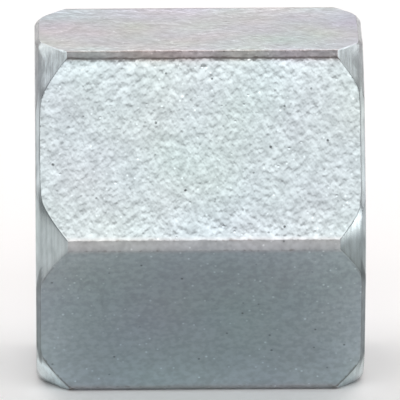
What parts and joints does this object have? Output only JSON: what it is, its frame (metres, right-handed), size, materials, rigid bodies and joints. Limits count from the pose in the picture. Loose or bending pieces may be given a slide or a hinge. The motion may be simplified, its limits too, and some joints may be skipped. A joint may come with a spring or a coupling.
{
  "type": "union nut",
  "caption": "Zinc-plated hexagon union nut with chamfered ends, an internal metric thread, a clamping cone for a sealing ring and a plain tube bore.",
  "frame": {"origin": "on the thread axis, halfway along the nut", "axes": "+X along the thread axis towards the threaded mouth, +Y through a corner of the hexagon, +Z normal to the upper flat"},
  "size_m": [0.016, 0.0194, 0.017],
  "materials": {
    "zinc_plated_steel": "bright zinc plating over drawn bar, fine grain on the flats, turned marks on the end chamfers"
  },
  "bodies": {
    "root": {"union_nut": "zinc_plated_steel"}
  },
  "joints": []
}
